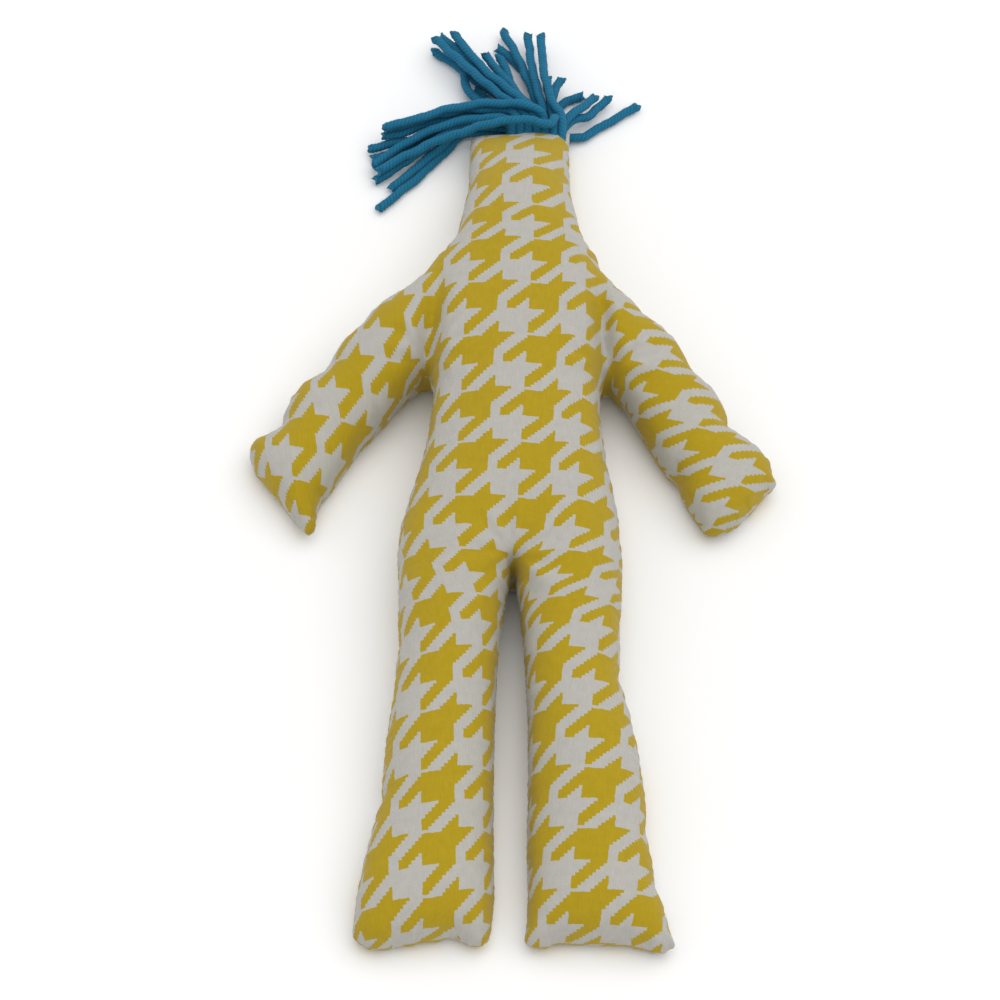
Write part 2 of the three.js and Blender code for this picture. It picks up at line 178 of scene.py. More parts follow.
# Each lamp: its strength, how wide it looks from the floor in degrees, and where it shines.
LAMPS = {"key": (1.35, 70, (-0.3, -0.12, -1)), "side": (0.2, 60, (0.8, -0.3, -1))}
world = bpy.data.worlds.new("studio")
world.use_nodes = True
world.node_tree.nodes["Background"].inputs["Color"].default_value = (1, 1, 1, 1)
world.node_tree.nodes["Background"].inputs["Strength"].default_value = SKY_STRENGTH
scene.world = world
for name, (energy, spread, towards) in LAMPS.items():
    lamp_data = bpy.data.lights.new(name, "SUN")
    lamp_data.energy = energy
    lamp_data.angle = np.radians(spread)
    lamp = bpy.data.objects.new(name, lamp_data)
    lamp.rotation_euler = Vector(towards).to_track_quat("-Z", "Y").to_euler()
    scene.collection.objects.link(lamp)
scene.view_settings.view_transform = "Standard"

# %% [markdown]
# ## The yarn
#
# Twenty-eight ends of four-ply yarn come out of the crown seam, seven side by side and four deep. Each entry
# is the route of one end after its root: millimetres across, beyond the crown and up. The lowest layer comes
# first, and each layer starts at the doll's right.

# %% Yarn routes
ROUTES = [
    [[-5, 3.1, 3.2], [-19.7, 2.9, 2.4], [-26.9, -4.9, 1.7], [-36.8, -16.5, 1.6], [-48.7, -28.5, 1.6]],
    [[-3.2, 6.2, 3.2], [-21.2, 5.8, 2.6], [-33.4, -0.3, 1.8], [-43.1, -4.2, 1.6], [-51.5, -7.4, 1.6]],
    [[1.6, 7, 3.2], [-5, 13, 2.4], [-11.5, 18.2, 1.8], [-16.6, 23.1, 1.6]],
    [[4.7, 7.5, 3.2], [-3, 16.6, 2.4], [-15.2, 26.1, 1.8], [-24, 34.4, 1.6], [-31.3, 40.1, 1.6]],
    [[7.8, 7.5, 3.2], [5.1, 19.4, 2.4], [2.1, 29.4, 1.8], [-2.6, 36.1, 1.6], [-8.4, 41.4, 1.6]],
    [[11.4, 7.5, 3.2], [12.8, 13.4, 2.4], [16.1, 18.4, 1.7], [21.8, 21.1, 1.6]],
    [[15.2, 2.2, 3.2], [18.6, 2.3, 2.4], [22.6, 3.1, 1.9], [26.8, 6.6, 1.7], [33.1, 10.9, 1.6],
     [41.3, 17.1, 1.6]],
    [[-5, 3.1, 6.4], [-19.7, 3.2, 5.2], [-28, -4, 4.2], [-36.9, -12.8, 3], [-44.7, -20.2, 1.8]],
    [[-3.2, 6.2, 6.4], [-21.2, 6.2, 5.6], [-33.4, 0.5, 4.8], [-43.1, -2, 4.2], [-52.6, -3.6, 2.4]],
    [[1.6, 7, 6.4], [-5.4, 11.6, 5.6], [-12.9, 15, 5], [-17.9, 19, 4.8], [-20.3, 28.3, 4.5]],
    [[4.8, 7.4, 6.4], [-0.5, 16.1, 5.6], [-4.2, 26.2, 4.8], [-7.6, 36, 4]],
    [[7.9, 7.6, 6.4], [4.7, 18.5, 5.5], [-0.1, 32.3, 4.8], [-6.4, 47.9, 3]],
    [[11.3, 7.4, 6.2], [10.4, 15, 4.8], [9.3, 27.8, 2.6]],
    [[15.6, 3.6, 6.4], [18.9, 7.4, 5.8], [24.6, 10.7, 4.6], [30.9, 19.2, 3.2]],
    [[-5, 3.1, 9.4], [-20.4, 3.3, 8.5], [-28, -1.8, 7.2], [-36.6, -8, 5], [-50.1, -17, 2]],
    [[-3.2, 6.2, 9.4], [-21.1, 6.4, 8.5], [-31.6, 4.2, 7.6], [-40.3, 0.6, 6.9], [-48, -0.8, 5.9]],
    [[1.8, 7.2, 9.4], [-4.4, 14.4, 8.6], [-13.2, 24.6, 7.9], [-21.2, 35, 6.9], [-28.8, 43.8, 4.9]],
    [[4.9, 7.8, 9.4], [-0.2, 15.6, 8.6], [-6.3, 24.4, 7.9], [-12.9, 34.7, 6.8]],
    [[8.2, 7.9, 9.4], [5.8, 19.2, 8.6], [3.5, 31.6, 7.2], [2.3, 44.8, 5.5]],
    [[11.4, 6.2, 9.4], [10.9, 12.5, 8.4], [11.8, 18.5, 7.4], [14.2, 24.8, 6]],
    [[15.6, 4.2, 9.4], [18.6, 8.2, 9], [22, 11.8, 7.8], [26.3, 18, 5.4]],
    [[-5, 3.1, 12.4], [-14, 3.4, 11.8], [-22.8, 2.2, 11], [-31.5, -0.5, 9.4], [-42, -5.4, 6.4],
     [-50.9, -11.5, 3.4]],
    [[-3.2, 6, 12.4], [-11.3, 7.2, 11.9], [-20.1, 7.2, 11.4], [-29.9, 5.2, 10.9], [-39.3, 2, 10],
     [-47.3, 0.5, 8.8]],
    [[2.2, 3.6, 12.6], [-1.2, 8.2, 12.2], [-6.5, 13.2, 11.6], [-15.1, 22.2, 10.9], [-23.5, 31.7, 9.8],
     [-30.6, 40.4, 8]],
    [[5, 3.8, 13.2], [1.6, 8.8, 13.4], [-3.2, 14.6, 12.6], [-11.2, 23, 11.4], [-18.4, 33, 10.2],
     [-23.8, 42.2, 8.8]],
    [[8.2, 2.8, 13.8], [5.8, 4.6, 15.8], [1.4, 6.2, 16.4], [-5, 7.2, 15.7], [-14.1, 7.4, 14.9],
     [-24.6, 5.6, 14.2], [-36.8, 1.6, 13.2], [-47.5, -1.2, 11.8]],
    [[11.9, 2.2, 13.6], [12, 1.4, 15.2], [11, -1.4, 16], [7.5, -1.8, 17], [2, -1.6, 18],
     [-6, -2.1, 18.1], [-13, -2.8, 16], [-19, -3.6, 13.8], [-26.1, -4.9, 11.4], [-36.5, -8.6, 8.6],
     [-49.3, -15.4, 5.4]],
    [[14.4, 3.8, 12.8], [12.6, 7.6, 12.6], [10.6, 13, 12.2], [8.7, 21, 11.2], [7.4, 32.5, 9.6],
     [6.9, 42.6, 8]],
]
CROWN = 152.5
ROOT_PITCH = 2.95
FIRST_ROOT = np.array([-3, CROWN + 0.6, 3.6])
ENDS_IN_A_LAYER = 7
print(len(ROUTES), "yarn ends")

# %% [markdown]
# A ply of yarn is a thick rope of fibre. Four of them twisted together make a strand whose section has four
# lobes that turn as we go along it. A bevelled curve would only be round, so a lobed ring is carried along
# the route instead. Near the cut end the twist lets go: the lobes deepen and spread. Loose fibres stand off
# the strand as fine spikes.

# %% Yarn, rings along a route
YARN = 2.6
LOBE_RADIUS = YARN * 0.6
PLIES = 4
SIDES = 24
TWIST_LENGTH = 5.6
SWAY = 0.35
UNEVEN = 0.06
GROOVE = 0.12
FRAYED_END = 3.0
FRAYED_GROOVE = 0.18
FLARE = 0.1
RAGGED = 0.9
chance = np.random.default_rng(7)


def wander(route):
    """The route with slow sideways waves, the mean of three sines, that start from nothing at the root."""
    s = np.linspace(0, np.linalg.norm(np.diff(route, axis=0), axis=1).sum(), len(route))
    phase = chance.uniform(0, 2 * np.pi, (2, 3))
    pitch = chance.uniform(9, 16, (2, 3))
    waves = np.sin(2 * np.pi * s[:, None, None] / pitch + phase).mean(2)
    moved = route.copy()
    moved[:, :2] += SWAY * ease(s, 4, 14)[:, None] * waves
    return moved


def lobed_rings(route, s, ahead):
    """Rings of points round a route, with lengths s and directions ahead, and the way out at each point.

    The radius at angle a and length s is 0.6 diameters, less up to an eighth in the four grooves, which sit
    at a = -2 pi s / TWIST_LENGTH plus quarter turns. In the frayed end the grooves deepen, the tube flares
    by a tenth and the plies end at different lengths.
    """
    side = np.cross((0, 0, 1), ahead)
    side /= np.linalg.norm(side, axis=1)[:, None]
    over = np.cross(ahead, side)
    angle = np.arange(SIDES) * 2 * np.pi / SIDES
    loose = ease(s, s[-1] - FRAYED_END, s[-1])[:, None]
    turn = angle[None] + 2 * np.pi * s[:, None] / TWIST_LENGTH
    lobe = np.abs(np.cos(PLIES / 2 * turn))
    uneven = UNEVEN * np.sin(s[:, None] / 2.3 + chance.uniform(0, 6)) * np.sin(turn + chance.uniform(0, 6))
    groove = (GROOVE + FRAYED_GROOVE * loose) * (1 - lobe)
    radius = LOBE_RADIUS * (1 + FLARE * loose + uneven) * (1 - groove)
    out = np.cos(angle)[None, :, None] * side[:, None] + np.sin(angle)[None, :, None] * over[:, None]
    rings = route[:, None] + radius[..., None] * out
    ragged = loose ** 4 * RAGGED * np.sin(2 * turn + chance.uniform(0, 6))
    return rings + ragged[..., None] * ahead[:, None], out


print("yarn of", YARN, "mm with a turn in", TWIST_LENGTH, "mm")

# %% Yarn, loose fibres
FIBRES_PER_MM = 5
FOOT_DEPTH = 0.15


def fibre_spikes(rings, out, ahead, length):
    """Spikes at random places on the rings, four points each: three close round the foot, and the tip.

    A tip is up to about 1.9 mm off its foot: a share outwards, and a random lean along and round the strand.
    The foot is then sunk a little, so that the spike grows out of the yarn.
    """
    count = int(FIBRES_PER_MM * length)
    at = chance.integers(len(rings) // 8, len(rings), count)
    way = chance.integers(0, SIDES, count)
    foot, out, ahead = rings[at, way], out[at, way], ahead[at]
    across = np.cross(ahead, out)
    lean = ahead * chance.uniform(-1.2, 1.2, (count, 1)) + across * chance.uniform(-1, 1, (count, 1))
    tip = foot + (0.7 * out + lean) * chance.uniform(0.4, 1.1, (count, 1))
    foot = foot - FOOT_DEPTH * out
    behind = foot - 0.03 * ahead
    return np.stack([foot + 0.06 * ahead, behind + 0.05 * across, behind - 0.05 * across, tip], 1)


print(FIBRES_PER_MM, "loose fibres to a millimetre")


# %% Yarn, one strand
def strand_mesh(name, route):
    """The closed mesh of one strand along a route, and its length in mm.

    Quads join each ring to the next, a fan of triangles closes each end, and the spikes follow. The UV map
    gives the ply, counted round and along the twist, and the length.
    """
    s = np.r_[0, np.cumsum(np.linalg.norm(np.diff(route, axis=0), axis=1))]
    ahead = np.gradient(route, s, axis=0)
    ahead /= np.linalg.norm(ahead, axis=1)[:, None]
    rings, out = lobed_rings(route, s, ahead)
    spikes = fibre_spikes(rings, out, ahead, s[-1])
    points = np.vstack([rings.reshape(-1, 3), route[0], route[-1] + 0.2 * ahead[-1], spikes.reshape(-1, 3)])

    i, j = np.meshgrid(np.arange(len(rings) - 1), np.arange(SIDES), indexing="ij")
    here = i * SIDES + j
    there = i * SIDES + (j + 1) % SIDES
    quads = np.stack([here, there, there + SIDES, here + SIDES], -1).reshape(-1, 4)
    around = np.arange(SIDES)
    after = (around + 1) % SIDES
    first = len(rings) * SIDES
    last = first + 1
    low = np.column_stack([np.full(SIDES, first), after, around])
    high = np.column_stack([np.full(SIDES, last), first - SIDES + around, first - SIDES + after])
    base = last + 1 + 4 * np.arange(len(spikes))[:, None, None]
    spike_faces = (base + np.array([[0, 2, 1], [0, 1, 3], [1, 2, 3], [2, 0, 3]])).reshape(-1, 3)
    triangles = np.vstack([low, high, spike_faces])
    mesh = bpy.data.meshes.new(name)
    mesh.from_pydata((points * MM).tolist(), [], quads.tolist() + triangles.tolist())

    length = s[np.stack([i, i, i + 1, i + 1], -1)]
    ply = (np.stack([j, j + 1, j + 1, j], -1) / SIDES + length / TWIST_LENGTH) * PLIES
    place = np.stack([ply, length], -1).reshape(-1, 2)
    rest = np.column_stack([np.zeros(triangles.size), np.full(triangles.size, s[-1])])
    mesh.uv_layers.new(name="ply").data.foreach_set("uv", np.vstack([place, rest]).ravel())
    mesh.polygons.foreach_set("use_smooth", np.ones(len(mesh.polygons), bool))
    return mesh, s[-1]


print("strands of", SIDES, "sides")

# %% [markdown]
# Each strand is held 7 mm deep in the crown, where the ends are squeezed together between the panels, and
# goes out through its root. It rides on the head.

# %% Yarn strands
HELD_DEPTH = 7
SQUEEZE = 0.6
SQUEEZED_TO = 8
strands = []
lengths = []
for number, places in enumerate(ROUTES):
    layer, column = divmod(number, ENDS_IN_A_LAYER)
    root = FIRST_ROOT + ROOT_PITCH * np.array([column, 0, layer])
    held = root - [0, HELD_DEPTH, SQUEEZE * (root[2] - SQUEEZED_TO)]
    route = wander(smooth_line([held, root] + [[x, CROWN + y, z] for x, y, z in places], 0.6))
    mesh, length = strand_mesh(f"hair_{number + 1:02d}", route)
    strand = bpy.data.objects.new(mesh.name, mesh)
    scene.collection.objects.link(strand)
    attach(strand, "head")
    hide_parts(f"hair_strand_{number + 1:02d}")
    strands.append(strand)
    lengths.append(length)
print("yarn:", len(strands), "strands,", round(min(lengths), 1), "to", round(max(lengths), 1), "mm long")

# %% [markdown]
# ## The panels, flat
#
# Both panels are cut to one outline. Each run below goes from one sharp corner to the next, in millimetres
# with the crown at +Y. Where a stitch was pulled tight the seam is drawn in, by the third number of each
# pull, which gives the scalloped edge. Five fold lines, where the joints are, run from rim to rim. They are
# kept as edges of the mesh, so that the cover can be parted there without a gap.

# %% Outline
OUTLINE = [
    [(17.9, 153.2), (17.6, 146), (17.8, 136), (18.1, 126), (18.9, 118), (20.4, 111), (22.4, 102.6), (25, 96),
     (29.2, 89.3), (34, 80.6), (41.4, 73.1), (48.6, 65.9), (58.5, 55.9), (63.7, 48.2), (69.9, 41.3),
     (73.8, 34), (78.9, 27), (83.4, 22.7), (85.7, 19.4), (86, 16), (87.8, 12.8)],
    [(87.8, 12.8), (86, 10.2), (82.2, 6), (78.3, 1), (73.8, -4.1), (70.2, -6.1), (66.6, -7.9), (63.7, -7.2),
     (61.9, -5.4)],
    [(61.9, -5.4), (56.2, 4.2), (52.6, 11.5), (47.4, 19), (43.1, 26.2), (38.3, 33.8), (33, 42), (30.2, 45)],
    [(30.2, 45), (28.8, 39.4), (28.8, 31), (29.8, 21), (31.2, 13.5), (32.8, 3), (35, -9), (36.2, -22),
     (36, -35), (35.4, -54), (37.3, -72), (41.1, -89), (43.7, -106), (45.2, -123), (49, -139.5),
     (52.8, -153)],
    [(52.8, -153), (48, -155.6), (40, -153.6), (28, -153.4), (16, -153.6), (10.5, -155.2), (5.4, -152.8)],
    [(5.4, -152.8), (6.1, -139), (5.6, -123), (5.6, -106), (5.5, -89), (4.6, -70), (3.4, -54), (1.8, -41),
     (0.3, -30)],
    [(0.3, -30), (-1.4, -41), (-3.1, -54), (-3.8, -70), (-4.2, -89), (-4.1, -106), (-3.8, -123),
     (-3.4, -139), (-4.6, -152.6)],
    [(-4.6, -152.6), (-9, -154.4), (-17, -152.2), (-28, -153.6), (-42, -155.8), (-48, -152)],
    [(-48, -152), (-47.3, -139.5), (-44.4, -123), (-40.9, -106), (-39.6, -89), (-37.6, -72), (-36.8, -54),
     (-37.1, -35), (-37.8, -23), (-36.6, -9), (-32.9, 3), (-30.5, 13.5), (-29.2, 21), (-28.2, 30),
     (-27.6, 39), (-29.4, 46.4)],
    [(-29.4, 46.4), (-35, 41.5), (-41.8, 33.5), (-48.6, 25.1), (-54, 18.2), (-58.2, 11.1), (-62.2, 3.5),
     (-64.4, -3), (-64.8, -8.3)],
    [(-64.8, -8.3), (-67.4, -9.8), (-70.1, -7.2), (-75.4, -0.5), (-80.6, 6.3), (-86.3, 13.5)],
    [(-86.3, 13.5), (-88.2, 18.5), (-88.4, 23.9), (-86, 27.6), (-82, 28.9), (-79.9, 31.6), (-75.7, 40.7),
     (-62.7, 55.6), (-52.8, 65.9), (-45.8, 72.3), (-35.8, 79.4), (-28.7, 88), (-23.3, 95.6), (-20.9, 102.3),
     (-19.5, 112), (-18.2, 120), (-17.7, 130), (-17.6, 142), (-17.2, 150)],
    [(-17.2, 150), (-6, 151), (8, 152.2), (17.9, 153.2)],
]
PULLS = [(22, 103, 0.7), (24.7, 96, 1), (31, 86, 2.6), (37, 79, 1.2), (45.5, 71, 1.6), (60, 52, 2),
         (73, 33, 2.9), (53, 11, 0.9), (31, 12, 0.8), (35.6, -16, 0.7), (35.5, -65.5, 1.5), (43.7, -115, 1),
         (46.7, -134, 0.8), (-37.7, 80, 0.9), (-53, 65, 1.3), (-65, 50.5, 3), (-79.6, 30.5, 2.2),
         (-62.5, 2.5, 0.9), (-36.5, -7, 0.7), (-36.6, -56, 0.8), (-40.7, -108, 1), (-15.5, -153, 0.7),
         (17, -154, 0.7)]
PULL_REACH = 2.6
STEP = 1.7

rim_points = np.vstack([smooth_line(run, STEP)[:-1] for run in OUTLINE])
rim_count = len(rim_points)
ahead = np.roll(rim_points, -1, axis=0) - np.roll(rim_points, 1, axis=0)
inward = np.column_stack([ahead[:, 1], -ahead[:, 0]]) / np.linalg.norm(ahead, axis=1)[:, None]
for *pull, drawn in PULLS:
    reach = np.linalg.norm(rim_points - pull, axis=1)
    rim_points = rim_points + drawn * np.exp(-(reach - reach.min()) / PULL_REACH)[:, None] * inward
print("rim of", rim_count, "points")

# %% Fold lines
# Each fold's ends lie near the rim, and the nearest points of the rim are taken.
FOLDS = {
    "head": ((-20.6, 100), (21.2, 100)),
    "left_arm": ((23.4, 95), (30.2, 46.5)),
    "right_arm": ((-29.4, 47), (-22.6, 94.6)),
    "left_leg": ((36, -33), (0.3, -30)),
    "right_leg": ((0.3, -30), (-36.9, -33)),
}
fixed = [rim_points]
edges = [(i, (i + 1) % rim_count) for i in range(rim_count)]
fold_ends = {}
for name, near_ends in FOLDS.items():
    i, j = (int(np.argmin(np.linalg.norm(rim_points - end, axis=1))) for end in near_ends)
    fold_ends[name] = rim_points[[i, j]]
    parts = round(np.linalg.norm(rim_points[j] - rim_points[i]) / STEP)
    first = sum(len(group) for group in fixed)
    fixed.append(rim_points[i] + (rim_points[j] - rim_points[i]) * np.arange(1, parts)[:, None] / parts)
    chain = [i, *range(first, first + parts - 1), j]
    edges += list(zip(chain[:-1], chain[1:]))
fixed = np.vstack(fixed)
print(len(edges) - rim_count, "edges on the folds")

# %% [markdown]
# Inside the outline the points lie on a triangular grid, kept a little off the lines. A Delaunay net through
# all of them, held to the rim and the folds, is the flat panel.


# %% Flat panel
def nearest(points, targets):
    """The distance from each point to the nearest target."""
    groups = np.array_split(points, len(points) // 500 + 1)
    return np.concatenate([np.linalg.norm(g[:, None] - targets[None], axis=2).min(1) for g in groups])


HALF_SPAN = 92
HALF_LENGTH = 160
KEPT_OFF = 0.62
across, up = np.meshgrid(np.arange(-HALF_SPAN, HALF_SPAN, STEP),
                         np.arange(-HALF_LENGTH, HALF_LENGTH, STEP * 3 ** 0.5 / 2))
across = across + STEP / 2 * (np.arange(len(up)) % 2)[:, None]
grid = np.column_stack([across.ravel(), up.ravel()])
grid = grid[nearest(grid, fixed) > KEPT_OFF * STEP]
net = delaunay_2d_cdt([Vector(p) for p in np.vstack([fixed, grid])], edges, [], 1, 1e-6)
used, tris = np.unique(np.array(net[2]), return_inverse=True)
tris = tris.reshape(-1, 3)
flat = np.array([p[:] for p in net[0]])[used]
count = len(flat)
print("panel of", count, "points and", len(tris), "triangles")

# %% [markdown]
# ## The panels, filled
#
# How far the stuffing lifts the cloth depends on how far the rim is. A membrane held at the rim and pushed
# evenly gives a smooth measure of that: twice its height is the square of a depth, which in a long strip
# makes half a circle. We solve it by conjugate gradients on the triangle net.


# %% Membrane
def solve(net, right, free):
    """The values whose differences from their neighbours add up to right at the free points, else 0."""
    i, j = net[:, [0, 1, 2]].ravel(), net[:, [1, 2, 0]].ravel()
    size = len(right)

    def spread(f):
        gap = 0.5 * (f[i] - f[j])
        return np.where(free, np.bincount(i, gap, size) - np.bincount(j, gap, size), 0)

    f = np.zeros(size)
    rest = np.where(free, right, 0)
    way, left = rest.copy(), rest @ rest
    for _ in range(2000):
        moved = spread(way)
        pace = left / (way @ moved)
        f += pace * way
        rest = rest - pace * moved
        now = rest @ rest
        if now < 1e-10 * size:
            break
        way, left = rest + now / left * way, now
    return f


sides = np.sort(np.vstack([tris[:, [0, 1]], tris[:, [1, 2]], tris[:, [2, 0]]]), axis=1)
sides, uses = np.unique(sides, axis=0, return_counts=True)
on_rim = np.zeros(count, bool)
on_rim[sides[uses == 1].ravel()] = True
# On a triangular grid an even push of 1 adds up to this at each point.
push = np.full(count, 1.5 * STEP ** 2)
depth = np.sqrt(2 * np.maximum(0, solve(tris, push, ~on_rim)))
print("deepest point of the membrane measure", round(depth.max(), 1), "mm")

# %% [markdown]
# The folds divide the doll into a torso, a head and four limbs. Several steps below ask how far a point lies
# beyond a fold, and whether it is in an arm.


# %% Places beyond the folds
def fold_way(name):
    """The direction across a fold, out of the torso."""
    a, b = fold_ends[name]
    return np.array([a[1] - b[1], b[0] - a[0]]) / np.linalg.norm(b - a)


def fold_place(name, points):
    """How far each point lies beyond a fold line, in mm."""
    return (points - fold_ends[name][0]) @ fold_way(name)


def arm_share(points, low, high):
    """0 in the torso and 1 in an arm, rising from low to high mm beyond the shoulder fold.

    Other sections can lie beyond that line too, so only points in a slanted box beside the torso count.
    """
    x, y = np.abs(points[:, 0]), points[:, 1]
    near = (y > -14) & (y < 97) & (x > 31 + 0.33 * np.maximum(0, 46 - y) - 12 * (y > 46))
    beyond = np.where(points[:, 0] > 0, fold_place("left_arm", points), fold_place("right_arm", points))
    return np.where(near, ease(beyond, low, high), 0)


def armpit(name):
    """The lower end of a shoulder fold."""
    a, b = fold_ends[name]
    return a if a[1] < b[1] else b


print("armpits at", armpit("right_arm").round(1), "and", armpit("left_arm").round(1))

# %% [markdown]
# The seam runs half way up the stuffed body, about 17 mm off the floor, and sinks towards the feet, hands
# and crown.

# %% Height of the seam
SEAM_HEIGHT = 17
FOOT_SINK, CROWN_SINK, HAND_SINK = 12, 9, 11
NECK, HIP, TOES = 100, -34, -152.5
SHOULDER_X, SHOULDER_Y = 27.2, 70.5
LEFT_ARM_LEAN, RIGHT_ARM_LEAN = 35, 38
ARM_LENGTH = 83
x, y = flat.T
lean = np.radians(np.where(x > 0, LEFT_ARM_LEAN, RIGHT_ARM_LEAN))
down_arm = ((np.abs(x) - SHOULDER_X) * np.sin(lean) + (SHOULDER_Y - y) * np.cos(lean)) / ARM_LENGTH
feet = FOOT_SINK * ease(-y, -HIP, -TOES)
crown = CROWN_SINK * np.clip((y - NECK) / (CROWN - NECK), 0, 1)
arm = arm_share(flat, -1, 1)
seam = (SEAM_HEIGHT - feet - crown) * (1 - arm) + arm * (SEAM_HEIGHT - HAND_SINK * ease(down_arm, 0, 0.85))
print("seam from", seam.min().round(1), "to", seam.max().round(1), "mm off the floor")

# %% [markdown]
# The front bulges above the seam and levels off, flatter where the crown is sewn shut. It is drawn in along
# the shoulder folds, most at the armpits, and small folds fan out from the armpits and the crotch. Each
# pulled stitch leaves a dent. The back sags below the seam until it lies on the floor.


# %% Heights of the panels
def fan(points, centre, folds, reach):
    """Small folds that fan out from a corner: a wave over the angle that fades with the distance."""
    away = points - centre
    distance = np.linalg.norm(away, axis=1)
    wave = np.cos(folds * np.arctan2(away[:, 1], away[:, 0]))
    return wave * ease(distance, 1, 6) * np.exp(-(distance / reach) ** 2)


BULGE, BULGE_REACH = 25, 17.3
CREASE, CREASE_WIDTH, CREASE_LENGTH = 0.5, 3.6, 26
FAN_FOLDS = 9
ARMPIT_FAN, ARMPIT_REACH = 0.7, 17
CROTCH = np.array(FOLDS["left_leg"][1])
CROTCH_FAN, CROTCH_REACH = 0.8, 20
DENT, DENT_REACH = 0.9, 7
SAG, SAG_REACH = 1.1, 0.733
full = 0.4 + 0.6 * ease(CROWN - y, 0, 42)
rise = BULGE * (1 - np.exp(-depth * full / BULGE_REACH))
for name in ("left_arm", "right_arm"):
    far = np.linalg.norm(flat - armpit(name), axis=1)
    beside = fold_place(name, flat)
    rise *= 1 - CREASE * np.exp(-(beside / CREASE_WIDTH) ** 2 - (far / CREASE_LENGTH) ** 2)
    rise += ARMPIT_FAN * fan(flat, armpit(name), FAN_FOLDS, ARMPIT_REACH)
rise += CROTCH_FAN * fan(flat, CROTCH, FAN_FOLDS, CROTCH_REACH)
for *pull, drawn in PULLS:
    rise -= DENT * drawn * np.exp(-(np.linalg.norm(flat - pull, axis=1) / DENT_REACH) ** 2)
front = seam + np.where(on_rim, 0, np.maximum(rise, 0))
back = np.maximum(0, seam * (1 - SAG * (1 - np.exp(-depth / (SAG_REACH * seam)))))
print("front up to", front.max().round(1), "mm, back down to", back.min().round(1), "mm")

# %% [markdown]
# Sewing is sharing points: the panels have the rim in common, and only the inner points get a twin on the
# back. The back's triangles are turned round so that they face out.

# %% Sew the panels
inner = np.flatnonzero(~on_rim)
twin = np.arange(count)
twin[inner] = count + np.arange(len(inner))
shape = np.vstack([np.column_stack([flat, front]), np.column_stack([flat, back])[inner]])
faces = np.vstack([tris, twin[tris][:, ::-1]])
print("two panels sewn:", len(shape), "points,", len(faces), "triangles")

# %% [markdown]
# ## The print
#
# The houndstooth is printed on flat cloth, so it follows the cloth over the bulge without stretching much.
# Laid straight down from above it would smear on the sides. So on each triangle we turn the print's two
# directions from the flat into the slope by the smallest turn, and look for coordinates whose differences
# along the edges match them best. That is again a membrane problem. The limbs were cut and laid at slightly
# different angles, in degrees below.

# %% Print coordinates
TORSO_TURN = -1.9
RIGHT_LEG_TURN, LEFT_LEG_TURN = 2.2, -6.1
RIGHT_ARM_TURN, LEFT_ARM_TURN = 8, -14
PRINT_START = (0, 40)


def print_on(net, sign):
    """Print coordinates, in mm, for the front panel (sign 1) or the back one (sign -1).

    A direction w of the flat print is turned onto a triangle with the normal n by taking away n + z times
    w.n / (1 + n.z), where z points up on the front and down on the back.
    """
    corner = shape[net]
    normal = np.cross(corner[:, 1] - corner[:, 0], corner[:, 2] - corner[:, 0])
    normal /= np.linalg.norm(normal, axis=1)[:, None]
    middle = corner[:, :, :2].mean(1)
    on_right = middle[:, 0] < 0
    legs, arms = ease(-middle[:, 1], 25, 55), arm_share(middle, -4, 10)
    angle = TORSO_TURN * (1 - legs) + legs * np.where(on_right, RIGHT_LEG_TURN, LEFT_LEG_TURN)
    angle = np.radians(angle * (1 - arms) + arms * np.where(on_right, RIGHT_ARM_TURN, LEFT_ARM_TURN))
    flat_ways = [(sign * np.cos(angle), sign * np.sin(angle)), (-np.sin(angle), np.cos(angle))]
    touched = np.zeros(len(shape), bool)
    touched[net] = True
    made = []
    for way in flat_ways:
        way = np.column_stack([*way, np.zeros(len(net))])
        share = (way * normal).sum(1) / (1 + sign * normal[:, 2])
        way = way - share[:, None] * (normal + [0, 0, sign])
        right = np.zeros(len(shape))
        for a, b in ((0, 1), (1, 2), (2, 0)):
            gain = 0.5 * (way * (corner[:, b] - corner[:, a])).sum(1)
            right += np.bincount(net[:, b], gain, len(shape)) - np.bincount(net[:, a], gain, len(shape))
        made.append(solve(net, right, touched))
    made = np.column_stack(made)
    centre = net[np.argmin(np.linalg.norm(middle - PRINT_START, axis=1)), 0]
    return made - made[centre] + shape[centre, :2] * [sign, 1]


smooth_front = print_on(tris, 1)
print_back = print_on(faces[len(tris):], -1)
print("print on the front spans", np.ptp(smooth_front[:count], axis=0).round(1), "mm")

# %% [markdown]
# On the real doll the seams hold some cloth back, which moves the print of each limb and of the head by some
# millimetres. The same is done here to the front, with moves that were read from the photo.

# %% Settle the print
# An arm's move, across and then up: the share of u, the share of v, and a fixed part.
RIGHT_ARM_MOVE = ((0.168, 0.002, 1.6), (0.264, -0.163, 22))
LEFT_ARM_MOVE = ((-0.116, -0.298, 32.2), (-0.055, 0.205, -10.2))
ROW_PLACES = [28, 70, 88, 105, 118, 134, 147]
ROW_MOVES = [0, -2.6, -1.5, 2.7, 0.5, -1.8, -3.5]


